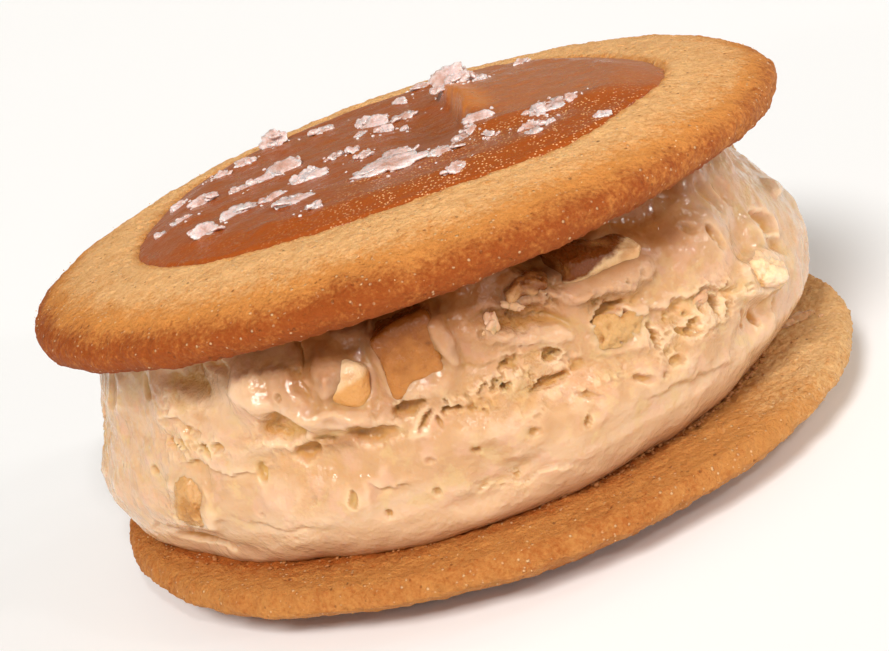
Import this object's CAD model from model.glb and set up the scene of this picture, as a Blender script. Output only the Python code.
"""The looks of an ice cream sandwich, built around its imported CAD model.

Shapes are worked out in millimetres and turned into metres by MM when a mesh is made.
The wall of the ice cream is a grid of height lines and radial columns: bumps, pits,
plates and fine relief are added to its radius. The cookies, the caramel and the lumps in
the wall are grids of the same kind. Mesh attributes carry how baked, hollow or wet each
place is, and the materials read them.
"""

import math
import random

import bmesh
import bpy
import numpy as np
from mathutils import Matrix, Vector


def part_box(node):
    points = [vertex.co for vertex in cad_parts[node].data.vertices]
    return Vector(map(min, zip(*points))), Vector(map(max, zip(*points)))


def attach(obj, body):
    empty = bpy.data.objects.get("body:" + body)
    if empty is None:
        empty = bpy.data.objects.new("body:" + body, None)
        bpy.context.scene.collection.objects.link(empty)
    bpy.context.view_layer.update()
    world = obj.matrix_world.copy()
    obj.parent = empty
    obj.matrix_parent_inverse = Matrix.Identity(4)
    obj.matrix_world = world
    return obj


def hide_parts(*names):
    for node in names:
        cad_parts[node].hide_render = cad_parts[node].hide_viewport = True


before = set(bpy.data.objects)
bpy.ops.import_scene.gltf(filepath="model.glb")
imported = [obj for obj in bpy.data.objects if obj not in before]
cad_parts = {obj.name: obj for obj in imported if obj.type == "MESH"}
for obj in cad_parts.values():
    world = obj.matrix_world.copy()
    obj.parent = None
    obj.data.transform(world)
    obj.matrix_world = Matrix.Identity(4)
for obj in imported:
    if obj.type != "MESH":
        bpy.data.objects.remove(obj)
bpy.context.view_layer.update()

MM = 0.001
BODY = "root"


# ================================================================ the frame's sizes

def box_mm(node):
    low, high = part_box(node)
    return np.array(low) / MM, np.array(high) / MM


bottom_low, bottom_high = box_mm("bottom_cookie")
COOKIE_THICKNESS = bottom_high[2] - bottom_low[2]
COOKIE_RADIUS = 40.0
COOKIE_FLAT_RADIUS = 29.5
COOKIE_EDGE_HEIGHT = 1.9
TOP_UNDERSIDE_CENTRE = np.array((-0.8, 0.4, 29.3))
TOP_TILT_X = math.radians(-1.4)
TOP_TILT_Y = math.radians(-1.2)

POOL_RADIUS = 27.9
POOL_WAVES = ((1, 1.7, -70), (2, 0.9, -50), (3, 1.3, -29), (4, 1.0, 45))

CREAM_FOOT_RADIUS = 34.6
CREAM_BELLY_RADIUS = 37.6
CREAM_TOP_RADIUS = 33.4
CREAM_BELLY_AT = 0.34
CREAM_FOOT_SHIFT = np.array((-2.8, 2.8))
CREAM_BODY_SHIFT = np.array((-1.0, 1.2))


# ================================================================ colours, as linear red, green and blue

CREAM_PALE = (0.655, 0.43, 0.26)
CREAM_MID = (0.58, 0.335, 0.165)
CREAM_PINK = (0.665, 0.395, 0.255)
CREAM_YELLOW = (0.65, 0.435, 0.21)
CREAM_RAISED = (0.82, 0.59, 0.39)
CREAM_FOOT = (0.70, 0.455, 0.27)
CREAM_GOLD = (0.66, 0.36, 0.13)
CREAM_HOLLOW = (0.60, 0.31, 0.105)
CREAM_STAIN = (0.25, 0.070, 0.008)
CREAM_OLIVE = (0.60, 0.38, 0.13)


# ================================================================ noise

def lattice(ix, iy, iz, seed):
    """A repeatable random number from 0 to 1 for each whole-number place."""
    mixed = (ix * 374761393 + iy * 668265263 + iz * 2147483647 + seed * 974634777) & 0xFFFFFFFF
    mixed = ((mixed ^ (mixed >> 13)) * 1274126177) & 0xFFFFFFFF
    mixed = ((mixed ^ (mixed >> 16)) * 2246822519) & 0xFFFFFFFF
    return (mixed ^ (mixed >> 15)) / 4294967296.0


def value_noise(where, seed):
    """Smooth noise from -1 to 1, one wave to a unit. where has x, y, z last."""
    base = np.floor(where).astype(np.int64)
    part = where - base
    ease = part * part * part * (part * (part * 6.0 - 15.0) + 10.0)
    total = np.zeros(where.shape[:-1])
    for dx in (0, 1):
        wx = ease[..., 0] if dx else 1.0 - ease[..., 0]
        for dy in (0, 1):
            wy = ease[..., 1] if dy else 1.0 - ease[..., 1]
            for dz in (0, 1):
                wz = ease[..., 2] if dz else 1.0 - ease[..., 2]
                corner = lattice(base[..., 0] + dx, base[..., 1] + dy, base[..., 2] + dz, seed)
                total += wx * wy * wz * corner
    return 2.0 * total - 1.0


def fractal(where, seed, octaves=3, gain=0.5):
    total = np.zeros(where.shape[:-1])
    size = 1.0
    reach = 0.0
    for octave in range(octaves):
        total += size * value_noise(where * 2.0 ** octave + 17.3 * octave, seed + octave)
        reach += size
        size *= gain
    return total / reach


def cells(where, seed):
    """Nearest-point cells: distance, gap to the next cell, a random number, offset from the point."""
    base = np.floor(where).astype(np.int64)
    nearest = np.full(where.shape[:-1], 9.0)
    second = np.full(where.shape[:-1], 9.0)
    number = np.zeros(where.shape[:-1])
    offset = np.zeros(where.shape)
    for dx in (-1, 0, 1):
        for dy in (-1, 0, 1):
            for dz in (-1, 0, 1):
                cx, cy, cz = base[..., 0] + dx, base[..., 1] + dy, base[..., 2] + dz
                point = np.stack([
                    cx + lattice(cx, cy, cz, seed),
                    cy + lattice(cx, cy, cz, seed + 1),
                    cz + lattice(cx, cy, cz, seed + 2),
                ], axis=-1)
                away = where - point
                distance = np.sqrt((away * away).sum(axis=-1))
                closer = distance < nearest
                second = np.where(closer, nearest, np.minimum(second, distance))
                number = np.where(closer, lattice(cx, cy, cz, seed + 3), number)
                offset = np.where(closer[..., None], away, offset)
                nearest = np.where(closer, distance, nearest)
    return nearest, second - nearest, number, offset


def smooth(low, high, value):
    part = np.clip((value - low) / (high - low), 0.0, 1.0)
    return part * part * (3.0 - 2.0 * part)


def blurred(field, times):
    """A grid field averaged with its neighbours, wrapped round in its second direction."""
    for _ in range(times):
        field = (field + np.roll(field, 1, axis=1) + np.roll(field, -1, axis=1)) / 3.0
        padded = np.concatenate([field[:1], field, field[-1:]], axis=0)
        field = (padded[:-2] + padded[1:-1] + padded[2:]) / 3.0
    return field


# ================================================================ meshes

def grid_piece(name, points, attributes=None, replaces=None, wrap=True):
    """A piece from a grid of rows by columns in mm. Its first and last rows close to a point."""
    rows, columns = points.shape[:2]
    top = points[0].mean(axis=0)
    end = points[-1].mean(axis=0)
    middle = points[1:-1].reshape(-1, 3)
    places = np.concatenate([[top], middle, [end]], axis=0) * MM
    row = np.arange(rows - 3)[:, None]
    column = np.arange(columns)[None, :]
    after = (column + 1) % columns
    here = 1 + row * columns
    quads = np.stack([
        here + column, here + columns + column, here + columns + after, here + after
    ], axis=-1).reshape(-1, 4)
    column = column[0]
    after = after[0]
    last = 1 + (rows - 3) * columns
    faces = quads.tolist()
    faces += [(0, 1 + int(c), 1 + int(n)) for c, n in zip(column, after)]
    faces += [(len(places) - 1, last + int(n), last + int(c)) for c, n in zip(column, after)]
    mesh = bpy.data.meshes.new(name)
    mesh.from_pydata(places.tolist(), [], faces)
    mesh.shade_smooth()
    for label, field in (attributes or {}).items():
        values = np.concatenate([[field[0].mean()], field[1:-1].reshape(-1), [field[-1].mean()]])
        layer = mesh.attributes.new(label, "FLOAT", "POINT")
        layer.data.foreach_set("value", values.astype(np.float32))
    return finished_piece(name, mesh, replaces)


def finished_piece(name, mesh, replaces):
    piece = bpy.data.objects.new(name, mesh)
    bpy.context.scene.collection.objects.link(piece)
    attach(piece, BODY)
    if replaces:
        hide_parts(replaces)
    return piece


def turned_grid(profile, columns, crowding):
    """(radius, height) points turned round Z, as rows by columns that stand closer at the front."""
    turn = np.linspace(0.0, 2.0 * math.pi, columns, endpoint=False)
    angle = turn - crowding * np.cos(turn)
    radius, height = np.array(profile).T
    points = np.empty((len(profile), columns, 3))
    points[..., 0] = radius[:, None] * np.cos(angle)
    points[..., 1] = radius[:, None] * np.sin(angle)
    points[..., 2] = height[:, None]
    return points


def spread(profile, spacing):
    """The same outline with points no further apart than spacing."""
    made = [profile[0]]
    for (r0, z0), (r1, z1) in zip(profile, profile[1:]):
        steps = max(1, int(math.ceil(math.hypot(r1 - r0, z1 - z0) / spacing)))
        made += [(r0 + (r1 - r0) * i / steps, z0 + (z1 - z0) * i / steps) for i in range(1, steps + 1)]
    return made


def surface_normals(points):
    """Outward unit normals of a turned grid."""
    along = np.gradient(points, axis=0)
    across = np.roll(points, -1, axis=1) - np.roll(points, 1, axis=1)
    normal = np.cross(along, across)
    length = np.maximum(np.linalg.norm(normal, axis=-1, keepdims=True), 1e-9)
    return normal / length


# ================================================================ material nodes

class Look:
    """A material with short names for the nodes that it uses. Lengths are in millimetres."""

    def __init__(self, name, roughness=0.5):
        self.material = bpy.data.materials.new(name)
        self.material.use_nodes = True
        self.tree = self.material.node_tree
        self.shader = self.tree.nodes["Principled BSDF"]
        self.shader.inputs["Roughness"].default_value = roughness
        coordinates = self.node("ShaderNodeTexCoord")
        scaled = self.node("ShaderNodeVectorMath", operation="SCALE")
        scaled.inputs["Scale"].default_value = 1.0 / MM
        self.link(coordinates.outputs["Object"], scaled.inputs[0])
        self.mm = scaled.outputs[0]

    def node(self, kind, **settings):
        made = self.tree.nodes.new(kind)
        for key, value in settings.items():
            setattr(made, key, value)
        return made

    def link(self, source, target):
        if hasattr(source, "is_output"):
            self.tree.links.new(source, target)
        else:
            target.default_value = source

    def attribute(self, name):
        return self.node("ShaderNodeAttribute", attribute_name=name).outputs["Fac"]

    def noise(self, length, detail=3.0, rough=0.55, warp=0.0, stretch=None):
        """Noise whose largest waves are length mm long, from 0 to 1."""
        where = self.mm
        if stretch:
            scaled = self.node("ShaderNodeVectorMath", operation="MULTIPLY")
            scaled.inputs[1].default_value = stretch
            self.link(where, scaled.inputs[0])
            where = scaled.outputs[0]
        made = self.node("ShaderNodeTexNoise")
        made.inputs["Scale"].default_value = 1.0 / length
        made.inputs["Detail"].default_value = detail
        made.inputs["Roughness"].default_value = rough
        made.inputs["Distortion"].default_value = warp
        self.link(where, made.inputs["Vector"])
        return made.outputs["Fac"]

    def cell(self, length, feature="F1", output="Distance"):
        made = self.node("ShaderNodeTexVoronoi", feature=feature)
        made.inputs["Scale"].default_value = 1.0 / length
        self.link(self.mm, made.inputs["Vector"])
        return made.outputs[output]

    def math(self, operation, a, b=0.0, clamp=False):
        made = self.node("ShaderNodeMath", operation=operation, use_clamp=clamp)
        self.link(a, made.inputs[0])
        self.link(b, made.inputs[1])
        return made.outputs[0]

    def span(self, value, low, high, to_low=0.0, to_high=1.0):
        """value mapped from low..high to to_low..to_high, held at the ends."""
        made = self.node("ShaderNodeMapRange", interpolation_type="SMOOTHSTEP")
        self.link(value, made.inputs["Value"])
        made.inputs["From Min"].default_value = low
        made.inputs["From Max"].default_value = high
        made.inputs["To Min"].default_value = to_low
        made.inputs["To Max"].default_value = to_high
        return made.outputs["Result"]

    def mix(self, factor, a, b, blend="MIX"):
        made = self.node("ShaderNodeMix", data_type="RGBA", blend_type=blend)
        self.link(factor, made.inputs["Factor"])
        for colour, socket in ((a, made.inputs[6]), (b, made.inputs[7])):
            if isinstance(colour, tuple):
                socket.default_value = (*colour, 1.0)
            else:
                self.link(colour, socket)
        return made.outputs[2]

    def bump(self, height, distance, strength=1.0, under=None):
        made = self.node("ShaderNodeBump")
        made.inputs["Strength"].default_value = strength
        made.inputs["Distance"].default_value = distance * MM
        self.link(height, made.inputs["Height"])
        if under is not None:
            self.link(under, made.inputs["Normal"])
        return made.outputs["Normal"]

    def colour(self, source):
        if isinstance(source, tuple):
            self.shader.inputs["Base Color"].default_value = (*source, 1.0)
        else:
            self.link(source, self.shader.inputs["Base Color"])

    def set(self, **values):
        """Values held constant all over, by socket name with underscores for spaces."""
        for key, value in values.items():
            self.shader.inputs[key.replace("_", " ")].default_value = value

    def roughness(self, source):
        self.link(source, self.shader.inputs["Roughness"])

    def normal(self, source):
        self.link(source, self.shader.inputs["Normal"])

    def glow_through(self, weight, radius, scale):
        self.set(Subsurface_Weight=weight, Subsurface_Radius=radius, Subsurface_Scale=scale * MM)


# ================================================================ cookies

def cookie_profile(shoulder_power):
    """Middle, shoulder, thin edge and underside, from the top's centre round to the bottom's."""
    fall_power = 1.5
    under_round = 1.4
    rise = COOKIE_THICKNESS - COOKIE_EDGE_HEIGHT
    reach = COOKIE_RADIUS - COOKIE_FLAT_RADIUS
    points = [(0.0, COOKIE_THICKNESS), (12.0, COOKIE_THICKNESS), (22.0, COOKIE_THICKNESS)]
    for turn in np.linspace(0.0, 0.5 * math.pi, 24):
        out = math.sin(turn) ** (2.0 / fall_power)
        up = abs(math.cos(turn)) ** (2.0 / shoulder_power)
        points.append((COOKIE_FLAT_RADIUS + reach * out, COOKIE_EDGE_HEIGHT + rise * up))
    for turn in np.linspace(0.0, 0.5 * math.pi, 8)[1:]:
        points.append((
            COOKIE_RADIUS - under_round * (1.0 - math.cos(turn)),
            COOKIE_EDGE_HEIGHT * (1.0 - math.sin(turn)),
        ))
    points += [(30.0, 0.0), (15.0, 0.0), (0.0, 0.0)]
    return points


COOKIE_COLUMNS = 600
COOKIE_FRONT_CROWDING = 0.25


def cookie_rows(shoulder_power):
    """The profile with close rows where the cookie shows and wide ones in its middle."""
    rows = []
    outline = spread(cookie_profile(shoulder_power), 0.28)
    last = None
    for radius, height in outline:
        near_middle = radius < 22.0
        spacing = 2.0 if near_middle else 0.24
        if last is None or math.hypot(radius - last[0], height - last[1]) >= spacing:
            rows.append((radius, height))
            last = (radius, height)
    return rows + [(0.0, 0.0)]


def cookie_grid(shoulder_power, oval, oval_at, lobes, lobes_at, seed, sandy):
    """A cookie with its baked relief. Also gives how far out and how high each place is."""
    points = turned_grid(cookie_rows(shoulder_power), COOKIE_COLUMNS, COOKIE_FRONT_CROWDING)
    out = np.hypot(points[..., 0], points[..., 1])
    height = points[..., 2].copy()
    angle = np.arctan2(points[..., 1], points[..., 0])
    stretch = 1.0 + oval * np.cos(2.0 * (angle - oval_at)) + lobes * np.cos(3.0 * (angle - lobes_at))
    points[..., :2] *= stretch[..., None]
    normal = surface_normals(points)
    rim = smooth(26.0, 38.0, out)
    swell = 0.22 * fractal(points / 9.0, seed, 2) + 0.15 * fractal(points / 3.2, seed + 5, 2)
    sand = 0.22 * fractal(points / 1.2, seed + 9, 3, 0.75)
    _, gap, number, _ = cells(points / 0.9, seed + 17)
    sand += sandy * (number - 0.5 - 1.1 * smooth(0.22, 0.0, gap))
    nearest, gap, number, _ = cells(points / 1.6, seed + 13)
    dimple = -0.26 * smooth(0.32, 0.05, nearest) * (number > 0.66)
    crack_zone = smooth(0.15, 0.5, fractal(points / 6.0, seed + 21, 2)) * rim
    crack = -0.16 * smooth(0.07, 0.0, gap) * crack_zone
    flat_side = smooth(0.25, 0.0, height)
    relief = swell * (1.0 - 0.8 * flat_side) * (0.25 + 0.75 * rim) + sand + dimple + crack
    settle = smooth(0.0, 6.0, out)
    points = points + normal * (relief * settle)[..., None]
    return points, out, height, angle


def cookie_look(name, pale, gold, brown):
    look = Look(name, 0.72)
    bake = look.attribute("bake")
    mottle = look.noise(3.4, 4.0, 0.6)
    fine = look.noise(0.36, 2.0, 0.6)
    shifted = look.math("ADD", bake, look.math("MULTIPLY", look.math("SUBTRACT", mottle, 0.5), 0.36))
    shifted = look.math("ADD", shifted, look.math("MULTIPLY", look.math("SUBTRACT", fine, 0.5), 0.55))
    sandy = look.noise(1.0, 2.0, 0.7)
    shifted = look.math("ADD", shifted, look.math("MULTIPLY", look.math("SUBTRACT", sandy, 0.5), 0.40))
    lighter = look.mix(look.span(shifted, 0.0, 0.5), pale, gold)
    toned = look.mix(look.span(shifted, 0.5, 1.0), lighter, brown)
    grain = look.span(look.cell(0.62), 0.28, 0.12)
    rare = look.span(look.noise(1.1, 2.0), 0.50, 0.60)
    bright = look.math("MULTIPLY", grain, rare)
    toned = look.mix(look.math("MULTIPLY", bright, 0.62), toned, (0.97, 0.66, 0.36))
    hole = look.math("MULTIPLY", look.span(look.cell(0.9), 0.20, 0.09), look.span(look.noise(1.7, 2.0), 0.50, 0.62))
    toned = look.mix(look.math("MULTIPLY", hole, 0.60), toned, (0.24, 0.065, 0.012))
    speck = look.math("MULTIPLY", look.span(look.cell(2.3), 0.10, 0.05), look.span(look.noise(4.0, 1.0), 0.45, 0.55))
    toned = look.mix(look.math("MULTIPLY", speck, 0.75), toned, (0.16, 0.045, 0.012))
    granule = look.cell(0.42)
    toned = look.mix(look.span(look.noise(0.7, 4.0, 0.75), 0.52, 0.72, 0.0, 0.18), toned, brown)
    look.colour(toned)
    look.roughness(look.span(bright, 0.0, 1.0, 0.68, 0.28))
    height = look.math("SUBTRACT", look.noise(0.6, 5.0, 0.75), look.math("MULTIPLY", granule, 0.28))
    height = look.math("ADD", height, look.math("MULTIPLY", look.math("SUBTRACT", bright, hole), 0.32))
    look.normal(look.bump(height, 0.46, 1.0))
    look.set(Specular_IOR_Level=0.22)
    look.glow_through(0.12, (1.0, 0.45, 0.2), 0.7)
    return look.material


def along_rim(angle, degrees):
    """Millimetres along a cookie's rim from a place in degrees."""
    off = angle - math.radians(degrees)
    return np.arctan2(np.sin(off), np.cos(off)) * COOKIE_RADIUS


def top_placement():
    tilt = Matrix.Rotation(TOP_TILT_Y, 4, "Y") @ Matrix.Rotation(TOP_TILT_X, 4, "X")
    return Matrix.Translation(Vector(TOP_UNDERSIDE_CENTRE)) @ tilt


TOP_MATRIX = np.array(top_placement())


def on_top_cookie(points):
    return points @ TOP_MATRIX[:3, :3].T + TOP_MATRIX[:3, 3]


def make_top_cookie():
    points, out, height, angle = cookie_grid(1.7, 0.016, math.radians(59), 0.013, math.radians(-21), 40, 0.05)
    shore = pool_reach(angle) - np.hypot(points[..., 0], points[..., 1])
    sunk = smooth(-0.5, 1.5, shore) * (height > 0.5 * COOKIE_THICKNESS)
    points[..., 2] -= 1.3 * sunk
    side = smooth(COOKIE_THICKNESS - 0.3, COOKIE_EDGE_HEIGHT, height)
    wander = 0.25 * fractal(points / 6.0, 47, 2)
    bake = 0.13 + 0.33 * smooth(32.5, 38.5, out) + 0.50 * smooth(0.1, 1.0, side + wander)
    bake += 0.14 * smooth(0.6, 0.1, height)
    bake -= 0.20 * np.exp(-(along_rim(angle, -15.0) / 32.0) ** 2) * smooth(33.0, 38.0, out)
    bake += 0.22 * smooth(-1.3, 0.1, shore) * smooth(1.5, 0.0, shore) * (height > 0.5 * COOKIE_THICKNESS)
    bake = np.where(height < 0.05, 0.85, bake)
    piece = grid_piece("top_cookie_baked", on_top_cookie(points), {"bake": bake}, "top_cookie")
    look = cookie_look("shortbread_top", (0.94, 0.53, 0.22), (0.71, 0.275, 0.060), (0.34, 0.070, 0.007))
    piece.data.materials.append(look)


def make_bottom_cookie():
    points, out, height, angle = cookie_grid(1.2, 0.002, 0.0, 0.004, math.radians(7), 70, 0.13)
    bake = 0.56 + 0.12 * smooth(3.6, 0.8, height) + 0.26 * smooth(2.6, 5.0, height)
    bake = np.where(height < 0.05, 0.60, bake)
    bake -= 0.50 * np.exp(-(along_rim(angle, 18.0) / 26.0) ** 2)
    bake += 0.12 * np.exp(-(along_rim(angle, 70.0) / 18.0) ** 2)
    points = points * np.array((1.0, -1.0, -1.0)) + np.array((0.0, 0.0, COOKIE_THICKNESS))
    points[..., 2] = np.maximum(points[..., 2], 0.0)
    from_cream = np.hypot(points[..., 0] - CREAM_FOOT_SHIFT[0], points[..., 1] - CREAM_FOOT_SHIFT[1])
    from_cream += 0.5 * fractal(points / 1.4, 75, 2) - CREAM_FOOT_RADIUS
    bake += 0.16 * smooth(4.0, 1.0, from_cream) + 0.50 * smooth(0.9, 0.2, from_cream)
    piece = grid_piece("bottom_cookie_baked", points, {"bake": bake}, "bottom_cookie")
    look = cookie_look("shortbread_bottom", (0.82, 0.50, 0.22), (0.60, 0.25, 0.062), (0.41, 0.105, 0.014))
    piece.data.materials.append(look)


# ================================================================ caramel

CARAMEL_NEAR = (0.34, 0.070, 0.007)
CARAMEL_MID = (0.33, 0.080, 0.013)
CARAMEL_DARK = (0.27, 0.060, 0.006)
CARAMEL_FAR = (0.42, 0.135, 0.045)
CARAMEL_LIP = (0.62, 0.20, 0.035)
CARAMEL_SPECK = (0.93, 0.52, 0.25)
CLIFF_X = 8.2
CLIFF_LEAN = 0.04
HOLLOW = (4.9, -2.0)
RIDGE_Y = -15.0
CARAMEL_RINGS = 112
CARAMEL_COLUMNS = 480


def pool_reach(angle):
    reach = np.full_like(angle, POOL_RADIUS)
    for waves, size, degrees in POOL_WAVES:
        reach = reach + size * np.cos(waves * (angle - math.radians(degrees)))
    return reach - 2.1 * np.exp(-(along_rim(angle, -42.0) / 11.0) ** 2)


def fold_frame(x, y):
    """How far right of the fold's cliff, and how far behind the ridge along its near side."""
    return x - CLIFF_X + CLIFF_LEAN * y, y - RIDGE_Y + 0.12 * (x - 16.0)


def in_hollow(x, y, wide, long):
    return np.exp(-((x - HOLLOW[0]) / wide) ** 2 - ((y - HOLLOW[1]) / long) ** 2)


def caramel_height(x, y):
    """Height of the caramel over the cookie's flat top: a crown, a fold and a hollow by it."""
    shore = np.maximum(0.0, pool_reach(np.arctan2(y, x)) - np.hypot(x, y))
    rise = smooth(0.0, 5.0, shore)
    flat = np.stack([x, y, np.zeros_like(x)], axis=-1)
    wander = 0.7 * fractal(flat / 4.0, 93, 2)
    right, behind = fold_frame(x, y)
    right = right + wander
    behind = behind + 2.0 * wander
    close = np.exp(-((x - 9.5) / 8.0) ** 2 - ((y - 1.0) / 12.0) ** 2)
    fold = smooth(-1.0, 0.6, right) * smooth(-4.0, 1.5, behind) * (0.35 + 1.05 * close)
    lip = 0.50 * np.exp(-((right - 0.8) / 1.2) ** 2) * smooth(3.0, 8.0, behind) * smooth(20.0, 12.0, y)
    ridge = 0.30 * np.exp(-(behind / 1.8) ** 2) * smooth(6.0, 11.0, x)
    hollow = 1.05 * in_hollow(x, y, 4.6, 8.5) * smooth(0.5, -0.8, right)
    ripple = 0.22 * fractal(flat / 5.0, 95, 3) + 0.08 * fractal(flat / 1.3, 98, 2)
    return (0.9 + fold + lip + ridge + ripple - hollow) * rise


def make_caramel():
    under = 3
    part = np.linspace(0.0, 1.0, CARAMEL_RINGS)
    rings = np.concatenate([part * (1.35 - 0.35 * part), np.linspace(1.0, 0.0, under)])
    angle = np.linspace(0.0, 2.0 * math.pi, CARAMEL_COLUMNS, endpoint=False)
    ring, turn = np.meshgrid(rings, angle, indexing="ij")
    around = np.stack([np.cos(turn), np.sin(turn), np.zeros_like(turn)], axis=-1)
    reach = pool_reach(turn) + 0.55 * fractal(around * 5.0, 90, 3) + 0.28 * fractal(around * 26.0, 92, 3)
    x = ring * reach * np.cos(turn)
    y = ring * reach * np.sin(turn)
    shore = reach * (1.0 - ring)
    edge = 0.30 * smooth(0.0, 0.7, shore) - 0.25
    top = COOKIE_THICKNESS + caramel_height(x, y) + edge
    is_floor = np.arange(len(rings))[:, None] >= CARAMEL_RINGS
    height = np.where(is_floor, COOKIE_THICKNESS - 1.3, top)
    right, behind = fold_frame(x, y)
    facet = smooth(-0.5, 0.4, right) * smooth(4.2, 2.0, right + 0.13 * np.maximum(0.0, y))
    fields = {
        "shore": shore,
        "plateau": smooth(-2.0, 4.0, behind) * smooth(0.5, 4.5, right),
        "facet": facet * smooth(-10.0, -6.0, y) * smooth(14.0, 9.0, y),
        "hollow": in_hollow(x, y, 3.6, 7.0) * smooth(0.8, -0.4, right),
        "band": smooth(2.0, -4.0, behind) * smooth(-12.0, 4.0, x),
    }
    points = np.stack([x, y, height], axis=-1)
    piece = grid_piece("caramel", on_top_cookie(points), fields, "caramel_pool")
    piece.data.materials.append(caramel_look())


def caramel_look():
    look = Look("soft_caramel", 0.3)
    shore = look.attribute("shore")
    cloudy = look.noise(5.0, 4.0, 0.6, 0.5)
    toned = look.mix(look.span(cloudy, 0.35, 0.65), CARAMEL_MID, CARAMEL_NEAR)
    near = look.math("MULTIPLY", look.span(shore, 6.0, 1.0), look.span(look.noise(3.0), 0.3, 0.6, 0.5, 1.0))
    toned = look.mix(near, toned, CARAMEL_NEAR)
    toned = look.mix(look.math("MULTIPLY", look.attribute("plateau"), 0.85), toned, CARAMEL_FAR)
    toned = look.mix(look.math("MULTIPLY", look.attribute("hollow"), 0.95), toned, CARAMEL_DARK)
    toned = look.mix(look.math("MULTIPLY", look.attribute("facet"), 0.75), toned, CARAMEL_LIP)
    glitter = look.math("MULTIPLY", look.span(look.cell(0.34), 0.34, 0.18), look.span(look.noise(2.5, 3.0), 0.30, 0.52))
    glitter = look.math("MULTIPLY", glitter, look.span(look.attribute("band"), 0.0, 0.8, 0.22, 1.0))
    toned = look.mix(look.math("MULTIPLY", glitter, 0.85), toned, CARAMEL_SPECK)
    look.colour(toned)
    look.roughness(look.span(look.noise(3.0, 3.0), 0.3, 0.7, 0.24, 0.42))
    height = look.math("ADD", look.noise(1.4, 3.0), look.math("MULTIPLY", look.noise(0.3, 2.0), 0.25))
    look.normal(look.bump(height, 0.20, 0.9))
    look.set(Specular_IOR_Level=0.22)
    look.glow_through(0.20, (1.0, 0.30, 0.05), 1.0)
    return look.material


# ================================================================ salt, sugar and crumbs

# Flakes on the caramel: x, y, length, height and turn on the top cookie
SALT_FLAKES = (
    (-18.9, -15.6, 2.9, 1.5, 35), (-15.6, -10.7, 4.3, 1.0, 40), (-19.7, 0.0, 2.7, 1.1, 30),
    (-11.7, 18.2, 3.4, 2.7, -15), (-15.1, 12.9, 2.4, 0.7, 5), (-10.9, 1.9, 3.9, 1.3, -20),
    (-12.7, 0.3, 2.4, 0.8, -15), (-14.9, -0.8, 2.9, 0.6, 18), (-8.0, -6.4, 3.4, 0.8, -12),
    (-7.4, -4.8, 1.3, 1.3, 70), (-9.9, -15.4, 3.5, 0.7, -6), (-12.0, -9.9, 2.2, 0.6, 5),
    (-8.1, -21.0, 1.7, 0.8, -30), (-21.7, -5.6, 1.9, 0.6, 30), (-24.1, -6.6, 1.3, 0.5, 45),
    (-5.1, -1.4, 2.1, 0.7, 45), (-3.4, -1.7, 1.3, 1.1, 60), (-2.1, -5.3, 2.2, 1.0, 45),
    (-0.4, 9.3, 3.7, 1.4, -20), (2.6, 7.7, 2.8, 0.7, -6), (0.5, 4.7, 2.0, 0.9, -30),
    (-2.0, 6.0, 1.6, 0.4, 45), (1.0, -12.1, 3.7, 1.3, -35), (-0.5, -15.1, 6.4, 1.0, -14),
    (3.1, 16.8, 1.9, 1.0, -30), (2.5, 3.1, 0.9, 0.6, 0), (-17.9, 11.1, 1.9, 0.6, 5),
    (8.8, 9.6, 3.6, 3.4, -20), (10.4, 9.9, 2.6, 3.0, 20), (9.6, 8.6, 2.4, 1.6, -5), (12.0, 7.3, 1.2, 0.8, -10),
    (9.2, -11.5, 2.9, 0.9, -25), (9.7, -16.9, 1.4, 0.6, -50), (7.6, -13.7, 2.5, 0.5, -6),
    (14.8, -15.7, 1.9, 1.3, -30), (16.7, -15.1, 3.5, 0.6, 5), (13.5, -19.4, 2.1, 0.8, 15),
    (13.2, -21.9, 2.0, 0.25, -30), (5.5, -24.6, 2.2, 1.0, 40), (20.1, -21.6, 1.4, 0.6, -10),
    (15.3, -20.0, 1.1, 0.4, 40), (5.0, -17.0, 2.9, 0.6, -6), (-22.5, 4.0, 2.0, 0.8, 20),
    (6.0, 21.0, 2.4, 0.9, -15), (17.0, 12.0, 1.6, 0.7, 30), (-6.0, 15.5, 2.2, 0.9, 0),
)
SALT_SIDES = 40
GRAIN_SIDES = 12
SALT_SEED = 7
SALT_SHARDS = 3
SALT_GRAINS = 320
SUGAR_GRAINS = 420
CRUMBS = 420


# Chips on the wall: degrees, height, length, tall, thick and turn
CREAM_CHIPS = (
    (-84.6, 24.3, 2.0, 1.1, 0.9, 40), (-83.4, 24.9, 1.2, 1.9, 0.9, -10), (-85.6, 25.2, 0.8, 1.0, 0.7, 20),
    (-79.6, 25.6, 1.9, 1.0, 0.8, -30), (-51.6, 18.9, 2.6, 0.9, 0.9, 10), (30.0, 21.0, 3.0, 1.4, 1.0, 10),
    (108.0, 24.0, 2.8, 1.3, 1.0, 8), (142.0, 18.0, 2.4, 1.2, 0.9, -20),
)
# Dabs on the bottom cookie: x, y and half length
CREAM_DABS = (
    (34.3, -7.6, 1.0), (35.4, -7.3, 0.6), (33.0, -8.3, 0.8), (36.2, -8.9, 0.3), (-33.0, 14.0, 0.6), (8.0, 37.4, 0.7),
)


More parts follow.
